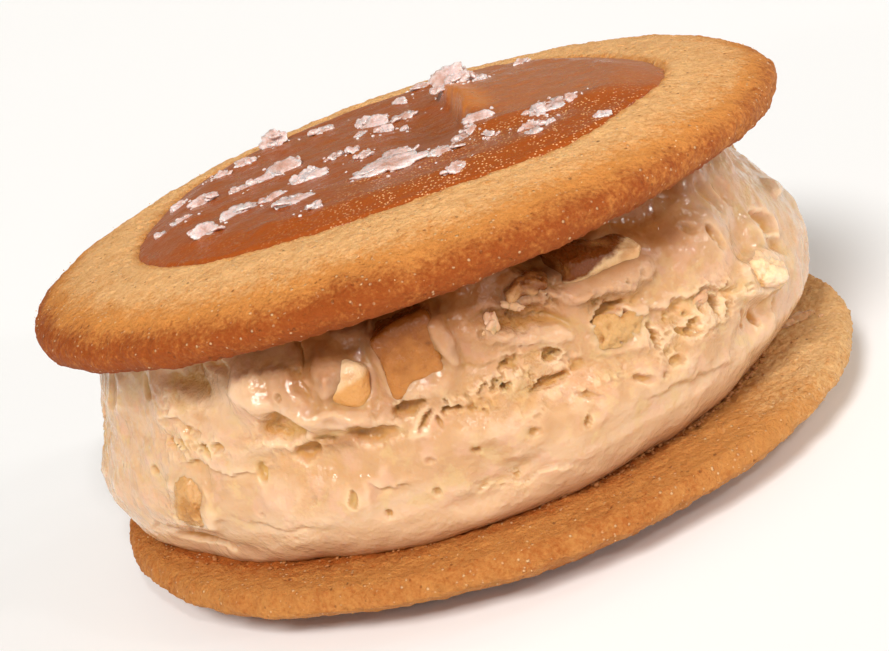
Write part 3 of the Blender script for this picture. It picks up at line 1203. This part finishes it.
def make_ice_cream():
    shape = (CREAM_LEVELS, CREAM_COLUMNS)
    share = np.broadcast_to(np.linspace(1.0, 0.0, CREAM_LEVELS)[:, None], shape)
    turn = np.linspace(0.0, 2.0 * math.pi, CREAM_COLUMNS, endpoint=False)
    angle = np.broadcast_to(turn - CREAM_FRONT_CROWDING * np.cos(turn), shape)
    outward = np.stack([np.cos(angle), np.sin(angle)], axis=-1)
    rough = wall_shift(share) + outward * barrel_radius(share)[..., None]
    high = underside_height(rough[..., 0], rough[..., 1]) + 0.15
    low = COOKIE_THICKNESS - 0.15
    height = low + share * (high - low)
    where = np.concatenate([CREAM_BELLY_RADIUS * outward, height[..., None]], axis=-1)
    relief, torn = wall_relief(angle, height, where)
    out = wall_forms(angle, height) + relief
    out += 0.7 * fractal(where * np.array((1.0, 1.0, 1.5)) / 9.0, 11, 2)
    radius = barrel_radius(share) + out
    hollow = np.clip((blurred(radius, 10) - radius) / 0.42, -1.0, 1.0)
    wide_hollow = np.clip((blurred(radius, 60) - radius) / 1.2, -1.0, 1.0)
    flat = wall_shift(share) + outward * radius[..., None]
    wall = np.concatenate([flat, height[..., None]], axis=-1)
    fields = {
        "hollow": 0.6 * hollow + 0.4 * wide_hollow,
        "torn": torn,
        "wet": zones(WET_ZONES, angle, height),
        "stain": np.maximum(zones(STAINS, angle, height), melted_brown(angle, height, high)),
        "warm": golden_front(angle, height),
        "olive": zones(OLIVE_SPOTS, angle, height),
    }
    top_rings = closing_rings(wall[0])
    foot_rings = closing_rings(wall[-1])[::-1]
    points = np.concatenate([top_rings, wall, foot_rings], axis=0)
    spare = np.zeros((len(top_rings), CREAM_COLUMNS))
    fields = {name: np.concatenate([spare, field, spare]) for name, field in fields.items()}
    piece = grid_piece("ice_cream_wall", points, fields, "ice_cream")
    piece.data.materials.append(ice_cream_look("caramel_ice_cream", 1.4))


def melted_brown(angle, height, high):
    """Brown of melted cream close under the top cookie, wider at the front right, and at the foot."""
    around = along_wall(angle, -80.0)
    at_front = smooth(-30.0, -17.0, around) * smooth(25.0, 12.0, around)
    reach = 1.8 + 5.8 * at_front
    strength = 0.60 + 0.40 * smooth(-34.0, -20.0, around) * smooth(32.0, 22.0, around)
    shade = strength * np.exp(-((high - height) / reach) ** 2)
    return np.maximum(shade, 0.25 * smooth(COOKIE_THICKNESS + 0.9, COOKIE_THICKNESS + 0.2, height))


def golden_front(angle, height):
    """How golden the cream is: more at the front's middle and right, paler than usual at the foot."""
    around = along_wall(angle, -80.0)
    at_front = smooth(-30.0, -17.0, around) * smooth(26.0, 15.0, around)
    return at_front * smooth(11.0, 16.0, height) - smooth(14.0, 8.0, height)


def closing_rings(edge):
    """Rings from the middle out to just inside an edge."""
    centre = edge.mean(axis=0)
    return np.array([centre + (edge - centre) * part for part in (0.0, 0.5, 0.94)])


def ice_cream_look(name, glow):
    look = Look(name, 0.4)
    hollow = look.attribute("hollow")
    torn = look.attribute("torn")
    stain = look.attribute("stain")
    wet = look.attribute("wet")
    swirl = look.noise(6.0, 3.0, 0.5, 0.8, (1.0, 1.0, 2.0))
    warm = look.attribute("warm")
    swirl = look.math("ADD", swirl, look.math("MULTIPLY", warm, 0.30))
    toned = look.mix(look.span(swirl, 0.35, 0.75), CREAM_PALE, CREAM_MID)
    toned = look.mix(look.span(look.noise(3.2, 3.0), 0.50, 0.62, 0.0, 0.6), toned, CREAM_PINK)
    toned = look.mix(look.span(look.noise(2.3, 3.0, 0.6), 0.52, 0.64, 0.0, 0.6), toned, CREAM_YELLOW)
    toned = look.mix(look.span(warm, -0.1, -1.0, 0.0, 0.9), toned, CREAM_FOOT)
    gold = look.math("MULTIPLY", look.span(torn, 0.3, 0.9), look.span(look.noise(1.6, 3.0), 0.45, 0.65))
    toned = look.mix(look.math("MULTIPLY", gold, 0.55), toned, CREAM_GOLD)
    toned = look.mix(look.span(hollow, 0.08, 0.75), toned, CREAM_HOLLOW)
    olive = look.math("MULTIPLY", look.attribute("olive"), look.span(hollow, -0.2, 0.3, 0.35, 1.0))
    toned = look.mix(olive, toned, CREAM_OLIVE)
    toned = look.mix(look.span(hollow, -0.05, -0.5, 0.0, 0.55), toned, CREAM_RAISED)
    blotch = look.math("MULTIPLY", stain, look.span(look.noise(2.2, 3.0), 0.2, 0.65, 0.80, 1.0))
    toned = look.mix(blotch, toned, CREAM_STAIN)
    look.colour(toned)
    patch = look.math("MULTIPLY", wet, look.span(look.noise(2.6, 2.0), 0.30, 0.5))
    patch = look.math("MAXIMUM", patch, look.span(look.noise(1.8, 3.0), 0.47, 0.58))
    look.roughness(look.span(patch, 0.0, 0.8, 0.25, 0.05))
    fine = look.math("ADD", look.noise(1.5, 2.0, 0.5), look.math("MULTIPLY", look.noise(0.55, 2.0), 0.34))
    rough = look.math("MULTIPLY", torn, 1.7)
    fine = look.math("ADD", fine, look.math("MULTIPLY", rough, look.noise(0.7, 3.0, 0.6)))
    look.normal(look.bump(fine, 0.22, 1.0))
    look.set(IOR=1.45, Specular_IOR_Level=0.36)
    look.glow_through(0.65, (1.0, 0.60, 0.34), glow)
    return look.material


# ================================================================ lumps in the wall

# node, looks, degrees, height, width, tall, depth, proud, lean, as the CAD places them
LUMPS = (
    ("toffee_front", "toffee", -95.8, 24.8, 6.0, 6.4, 5.0, 1.6, 6),
    ("toffee_small", "nut", -105.5, 23.4, 3.6, 4.2, 3.6, 1.3, -25),
    ("toffee_right", "coated", -64.5, 26.1, 8.4, 4.4, 5.5, 1.5, -13),
    ("toffee_dark", "rough", -76.8, 26.4, 4.4, 2.6, 4.5, 0.9, -10),
    ("crumb_right", "crumb", -66.3, 20.2, 5.0, 3.6, 4.4, 1.0, -12),
    ("crumb_pale", "pale", -37.5, 17.0, 6.4, 3.2, 4.4, 1.6, -18),
    ("crumb_left", "gold", -138.0, 14.0, 4.8, 4.8, 4.2, 0.8, 8),
    ("toffee_back_left", "toffee", 128.0, 19.0, 5.6, 6.6, 5.0, 1.5, 30),
    ("toffee_back_right", "nut", 57.0, 12.5, 6.8, 4.8, 5.0, 1.3, -15),
    ("crumb_back", "crumb", 95.0, 22.0, 6.4, 4.8, 4.6, 1.5, 12),
    ("crumb_side", "crumb", 14.0, 21.5, 4.6, 5.2, 4.2, 1.2, 0),
)

# corner sharpness, slip of the corners, lumps, roughness, pits, and how far the top slopes back
LUMP_FORMS = {
    "toffee": (7.0, 0.50, 0.26, 0.07, 0.06, 0.0),
    "nut": (2.7, 0.50, 0.40, 0.05, 0.0, 0.0),
    "coated": (6.0, 0.50, 0.40, 0.10, 0.08, 1.5),
    "rough": (3.4, 0.60, 0.45, 0.20, 0.30, 0.6),
    "crumb": (3.4, 0.70, 0.42, 0.30, 0.26, 0.0),
    "pale": (2.8, 0.90, 0.80, 0.28, 0.22, 0.0),
    "gold": (2.4, 0.90, 0.60, 0.24, 0.16, 0.0),
}
LUMP_CUTS = 31
SLAB_RIDGE = (0.68, 0.44, 0.23)


def wall_frame(degrees, height, proud, lean):
    """Placement on the wall in mm: X along it, Y straight out, Z up."""
    angle = math.radians(degrees)
    share = np.clip((height - COOKIE_THICKNESS) / (TOP_UNDERSIDE_CENTRE[2] - COOKIE_THICKNESS), 0, 1)
    outward = np.array((math.cos(angle), math.sin(angle)))
    spot = wall_shift(share) + outward * (barrel_radius(share) + proud)
    turn = Matrix.Rotation(angle - 0.5 * math.pi, 4, "Z") @ Matrix.Rotation(math.radians(lean), 4, "Y")
    return Matrix.Translation((spot[0], spot[1], height)) @ turn


def moved(points, matrix):
    turn = np.array(matrix)
    return points @ turn[:3, :3].T + turn[:3, 3]


def lump_points(cube, size, form, seed):
    """A block from cube points between -1 and 1: rounded, pushed about and roughened."""
    sharpness, slip, lumps, roughness, pits, slope = form
    norm = (np.abs(cube) ** sharpness).sum(axis=-1, keepdims=True) ** (1.0 / sharpness)
    body = cube / norm
    outward = np.sign(cube) * np.abs(body) ** (sharpness - 1.0)
    outward = outward / np.linalg.norm(outward, axis=-1, keepdims=True)
    shift = np.stack([fractal(body * 0.8 + 3.1 * k, seed + k, 1) for k in range(3)], axis=-1)
    points = body * (0.5 * np.array(size)) + slip * shift
    swell = lumps * fractal(points / 2.4, seed + 5, 2)
    rough = roughness * fractal(points / 0.7, seed + 8, 3, 0.6)
    nearest, _, chance, _ = cells(points / 0.9, seed + 12)
    holes = pits * smooth(0.42, 0.15, nearest) * (chance < 0.4)
    relief = swell + rough - holes
    points = points + outward * relief[..., None]
    points[:, 1] -= slope * np.maximum(0.0, points[:, 2] - 0.15 * size[2])
    points[:, 1] -= 0.7 * slope * np.maximum(0.0, -0.10 * size[2] - points[:, 2])
    return points, relief


def cube_mesh(cuts):
    bm = bmesh.new()
    bmesh.ops.create_cube(bm, size=2.0)
    bmesh.ops.subdivide_edges(bm, edges=bm.edges[:], cuts=cuts, use_grid_fill=True)
    mesh = bpy.data.meshes.new("cube")
    bm.to_mesh(mesh)
    bm.free()
    return mesh


def mesh_points(mesh):
    flat = np.empty(3 * len(mesh.vertices))
    mesh.vertices.foreach_get("co", flat)
    return flat.reshape(-1, 3)


def make_lumps():
    looks = lump_looks()
    for order, row in enumerate(LUMPS):
        node, kind, degrees, height, width, tall, depth, proud, lean = row
        mesh = cube_mesh(LUMP_CUTS)
        cube = mesh_points(mesh)
        cube = np.sin(cube * 0.5 * math.pi * 0.98) / math.sin(0.5 * math.pi * 0.98)
        points, relief = lump_points(cube, (width, depth, tall), LUMP_FORMS[kind], 200 + 20 * order)
        points[:, 1] -= 0.5 * depth
        placed = moved(points, wall_frame(degrees, height, proud, lean))
        mesh.vertices.foreach_set("co", (placed * MM).reshape(-1).astype(np.float32))
        mesh.attributes.new("relief", "FLOAT", "POINT").data.foreach_set(
            "value", relief.astype(np.float32))
        mesh.attributes.new("lift", "FLOAT", "POINT").data.foreach_set(
            "value", (points[:, 2] / tall + 0.5).astype(np.float32))
        mesh.attributes.new("across", "FLOAT", "POINT").data.foreach_set(
            "value", (points[:, 0] / width + 0.5).astype(np.float32))
        mesh.shade_smooth()
        piece = finished_piece(node + "_lump", mesh, node)
        piece.data.materials.append(looks[kind])


def lump_looks():
    """Looks of the lumps: colour at the foot, colour at the top, dark of the pits, gloss."""
    return {
        "toffee": lump_look("toffee", (0.45, 0.175, 0.040), (0.21, 0.058, 0.008), (0.15, 0.036, 0.005), 0.07, 0.30),
        "nut": lump_look("golden_toffee", (0.60, 0.29, 0.090), (0.70, 0.46, 0.26), (0.46, 0.18, 0.045), 0.06, 0.22, 0.16),
        "coated": lump_look("coated_toffee", (0.66, 0.37, 0.17), (0.15, 0.036, 0.005), (0.42, 0.18, 0.05), 0.10, 0.35, -0.06),
        "rough": lump_look("rough_toffee", (0.56, 0.30, 0.13), (0.33, 0.125, 0.032), (0.20, 0.055, 0.01), 0.1, 0.35),
        "crumb": lump_look("cookie_crumb", (0.56, 0.32, 0.125), (0.53, 0.285, 0.10), (0.36, 0.15, 0.035), 0.30, 0.60),
        "gold": lump_look("golden_crumb", (0.58, 0.32, 0.125), (0.55, 0.30, 0.115), (0.44, 0.20, 0.055), 0.25, 0.55),
        "pale": lump_look("pale_crumb", (0.86, 0.63, 0.42), (0.84, 0.57, 0.33), (0.66, 0.37, 0.15), 0.2, 0.5),
    }


def lump_look(name, low, high, pits, shiny, dull, slant_from=None):
    """Colour by height up the lump. A slanted one changes at its upper left, past a pale ridge."""
    slanted = slant_from is not None
    look = Look(name, dull)
    grain = look.math("MULTIPLY", look.math("SUBTRACT", look.noise(1.4, 4.0, 0.6), 0.5), 0.3 if slanted else 0.9)
    lift = look.math("ADD", look.attribute("lift"), grain)
    if slanted:
        slant = look.math("MULTIPLY", look.math("SUBTRACT", look.attribute("across"), 1.0), 0.75)
        lift = look.math("ADD", lift, slant)
        toned = look.mix(look.span(lift, slant_from, slant_from + 0.18), low, SLAB_RIDGE)
        toned = look.mix(look.span(lift, slant_from + 0.20, slant_from + 0.34), toned, high)
    else:
        toned = look.mix(look.span(lift, 0.15, 0.95), low, high)
    sunk = look.math("ADD", look.attribute("relief"), look.math("MULTIPLY", grain, 0.5))
    toned = look.mix(look.span(sunk, -0.05, -0.35), toned, pits)
    speck = look.math("MULTIPLY", look.span(look.cell(0.45), 0.18, 0.05), look.span(look.noise(1.2), 0.5, 0.6))
    toned = look.mix(look.math("MULTIPLY", speck, 0.35), toned, pits)
    look.colour(toned)
    look.roughness(look.span(look.noise(1.1, 3.0), 0.38, 0.62, shiny, dull))
    fine = look.math("ADD", look.noise(0.9, 3.0, 0.6), look.math("MULTIPLY", look.noise(0.35, 2.0), 0.7))
    look.normal(look.bump(fine, 0.18, 1.0))
    look.set(IOR=1.48, Specular_IOR_Level=0.3)
    look.glow_through(0.3, (1.0, 0.5, 0.2), 0.7)
    return look.material


# ================================================================ stage, light and camera

CAMERA_TARGET = Vector((-1.0, 0.0, 15.15)) * MM
CAMERA_DISTANCE = 199.5 * MM
CAMERA_ELEVATION = math.radians(18.05)
CAMERA_ROLL = math.radians(-18.5)
FOCAL_IN_WIDTHS = 1875.0 / 889.0
LIGHT_COLOUR = (1.0, 0.985, 0.965)
WORLD_HORIZON = (0.40, 0.35, 0.28, 1.0)
WORLD_MIDDLE = (0.09, 0.07, 0.05, 1.0)
WORLD_CEILING = (0.42, 0.40, 0.37, 1.0)


def make_camera():
    data = bpy.data.cameras.new("camera")
    data.sensor_width = 36.0
    data.lens = 36.0 * FOCAL_IN_WIDTHS
    data.clip_start = 0.005
    camera = bpy.data.objects.new("camera", data)
    bpy.context.scene.collection.objects.link(camera)
    sight = Vector((0.0, math.cos(CAMERA_ELEVATION), -math.sin(CAMERA_ELEVATION)))
    place = CAMERA_TARGET - sight * CAMERA_DISTANCE
    turn = sight.to_track_quat("-Z", "Y").to_matrix().to_4x4()
    camera.matrix_world = Matrix.Translation(place) @ turn @ Matrix.Rotation(CAMERA_ROLL, 4, "Z")
    bpy.context.scene.camera = camera


def soft_light(name, azimuth, elevation, width, strength):
    """A far soft light some degrees wide, azimuth in degrees round from the camera's side towards +X."""
    data = bpy.data.lights.new(name, "SUN")
    data.angle = math.radians(width)
    data.energy = strength
    data.color = LIGHT_COLOUR
    light = bpy.data.objects.new(name, data)
    bpy.context.scene.collection.objects.link(light)
    a = math.radians(azimuth)
    e = math.radians(elevation)
    direction = Vector((math.sin(a) * math.cos(e), -math.cos(a) * math.cos(e), math.sin(e)))
    light.location = direction + CAMERA_TARGET
    light.rotation_euler = (-direction).to_track_quat("-Z", "Y").to_euler()


def make_world():
    """Soft light all round, dimmer between the pale wall at the horizon and the ceiling."""
    world = bpy.data.worlds.new("studio")
    world.use_nodes = True
    tree = world.node_tree
    coordinates = tree.nodes.new("ShaderNodeTexCoord")
    parts = tree.nodes.new("ShaderNodeSeparateXYZ")
    ramp = tree.nodes.new("ShaderNodeValToRGB")
    tree.links.new(coordinates.outputs["Generated"], parts.inputs[0])
    tree.links.new(parts.outputs["Z"], ramp.inputs["Fac"])
    stops = ramp.color_ramp.elements
    stops[0].position, stops[0].color = 0.34, WORLD_HORIZON
    stops[1].position, stops[1].color = 0.62, WORLD_MIDDLE
    ceiling = stops.new(0.95)
    ceiling.color = WORLD_CEILING
    tree.links.new(ramp.outputs["Color"], tree.nodes["Background"].inputs["Color"])
    tree.nodes["Background"].inputs["Strength"].default_value = 1.0
    bpy.context.scene.world = world


def make_stage():
    bpy.ops.mesh.primitive_circle_add(vertices=96, radius=6.0, fill_type="NGON", location=(0, 0, 0))
    floor = bpy.context.object
    floor.name = "floor"
    look = Look("pale_floor", 0.9)
    look.colour(look.mix(look.noise(400.0, 2.0), (0.93, 0.94, 0.95), (0.915, 0.925, 0.935)))
    floor.data.materials.append(look.material)
    make_world()
    soft_light("key", -22, 44, 17.0, 2.5)
    soft_light("glint", 12, 36, 4.5, 0.69)
    soft_light("side", 84, 32, 5.7, 0.17)
    soft_light("edge", 118, 22, 4.0, 0.14)
    soft_light("spark_left", -28, 15, 3.0, 0.20)
    soft_light("spark_low", 8, 10, 3.0, 0.24)
    soft_light("spark_right", 48, 15, 3.0, 0.36)
    soft_light("spark_side", 80, 12, 3.0, 0.32)
    soft_light("spark_edge", 102, 16, 3.0, 0.20)
    bpy.context.scene.view_settings.view_transform = "Standard"


make_camera()
make_stage()
make_bottom_cookie()
make_top_cookie()
make_caramel()
make_ice_cream()
make_lumps()
make_salt()
make_sugar()
make_crumbs()
make_chips()
